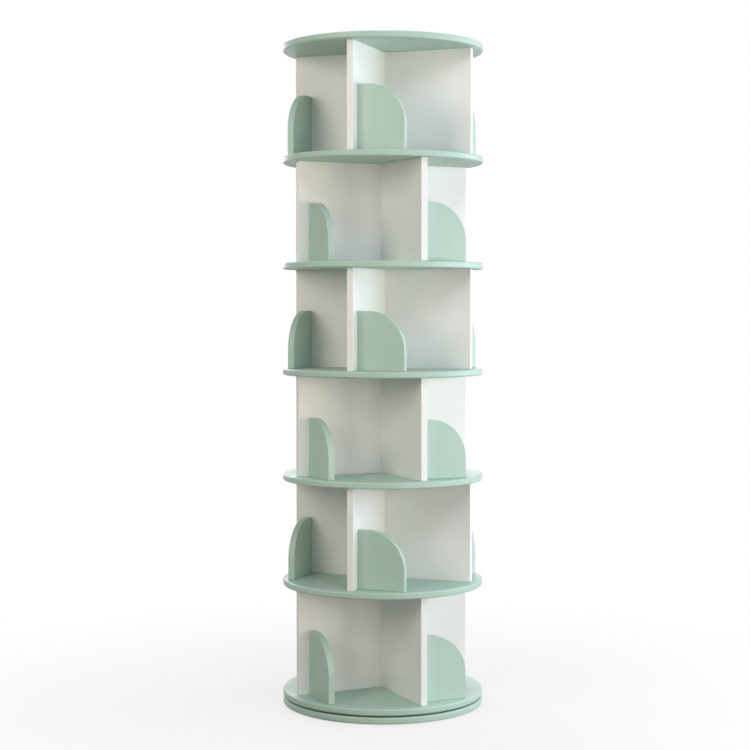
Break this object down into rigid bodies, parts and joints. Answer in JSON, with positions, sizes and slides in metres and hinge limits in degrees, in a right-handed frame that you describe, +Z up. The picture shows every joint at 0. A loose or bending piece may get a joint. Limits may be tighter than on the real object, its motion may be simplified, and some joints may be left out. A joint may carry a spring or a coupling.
{
  "type": "revolving bookcase",
  "caption": "Tall round bookcase that turns on a ball-bearing base, with cross dividers in stacked tiers and quarter-round bookends that hold books in each compartment.",
  "frame": {"origin": "the point where the turning axis meets the floor", "axes": "+Z up along the turning axis; -Y along the front divider arm of the lowest tier; +X to the right seen from the front"},
  "size_m": [0.4599, 0.46, 1.5127],
  "materials": {
    "mint_paint": "satin mint-green paint on fibreboard",
    "white_board": "satin white painted board",
    "grey_felt": "pressed felt",
    "ring_aluminium": "turned",
    "ball_steel": "polished",
    "cage_plastic": "moulded",
    "screw_steel": "zinc plated",
    "cap_plastic": "moulded, mint green",
    "beech": "plain fluted beech"
  },
  "bodies": {
    "base": {"base_disc": "mint_paint", "felt_pads": "grey_felt", "bearing_inner_ring": "ring_aluminium", "inner_ring_screws": "screw_steel"},
    "ball_ring": {"bearing_balls": "ball_steel", "bearing_cage": "cage_plastic"},
    "carousel": {"bearing_outer_ring": "ring_aluminium", "bottom_shelf": "mint_paint", "outer_ring_screws": "screw_steel", "screw_caps": "cap_plastic", "shelf_2": "mint_paint", "shelf_3": "mint_paint", "shelf_4": "mint_paint", "shelf_5": "mint_paint", "shelf_6": "mint_paint", "shelf_screws": "screw_steel", "tier1_bookend_back": "mint_paint", "tier1_bookend_front": "mint_paint", "tier1_bookend_left": "mint_paint", "tier1_bookend_right": "mint_paint", "tier1_divider_notched_above": "white_board", "tier1_divider_notched_below": "white_board", "tier2_bookend_back_left": "mint_paint", "tier2_bookend_back_right": "mint_paint", "tier2_bookend_front_left": "mint_paint", "tier2_bookend_front_right": "mint_paint", "tier2_divider_notched_above": "white_board", "tier2_divider_notched_below": "white_board", "tier3_bookend_back": "mint_paint", "tier3_bookend_front": "mint_paint", "tier3_bookend_left": "mint_paint", "tier3_bookend_right": "mint_paint", "tier3_divider_notched_above": "white_board", "tier3_divider_notched_below": "white_board", "tier4_bookend_back_left": "mint_paint", "tier4_bookend_back_right": "mint_paint", "tier4_bookend_front_left": "mint_paint", "tier4_bookend_front_right": "mint_paint", "tier4_divider_notched_above": "white_board", "tier4_divider_notched_below": "white_board", "tier5_bookend_back": "mint_paint", "tier5_bookend_front": "mint_paint", "tier5_bookend_left": "mint_paint", "tier5_bookend_right": "mint_paint", "tier5_divider_notched_above": "white_board", "tier5_divider_notched_below": "white_board", "tier6_bookend_back_left": "mint_paint", "tier6_bookend_back_right": "mint_paint", "tier6_bookend_front_left": "mint_paint", "tier6_bookend_front_right": "mint_paint", "tier6_divider_notched_above": "white_board", "tier6_divider_notched_below": "white_board", "top_board": "mint_paint", "wooden_dowels": "beech"}
  },
  "joints": [
    {"name": "carousel_spin", "type": "hinge", "parent": "base", "child": "carousel", "pos_m": [0, 0, 0.01875], "axis": [0, 0, 1], "continuous": true},
    {"name": "ball_ring_spin", "type": "hinge", "parent": "base", "child": "ball_ring", "pos_m": [0, 0, 0.01875], "axis": [0, 0, 1], "continuous": true}
  ],
  "couplings": [
    {"joint": "ball_ring_spin", "follows": "carousel_spin", "ratio": 0.5114}
  ]
}
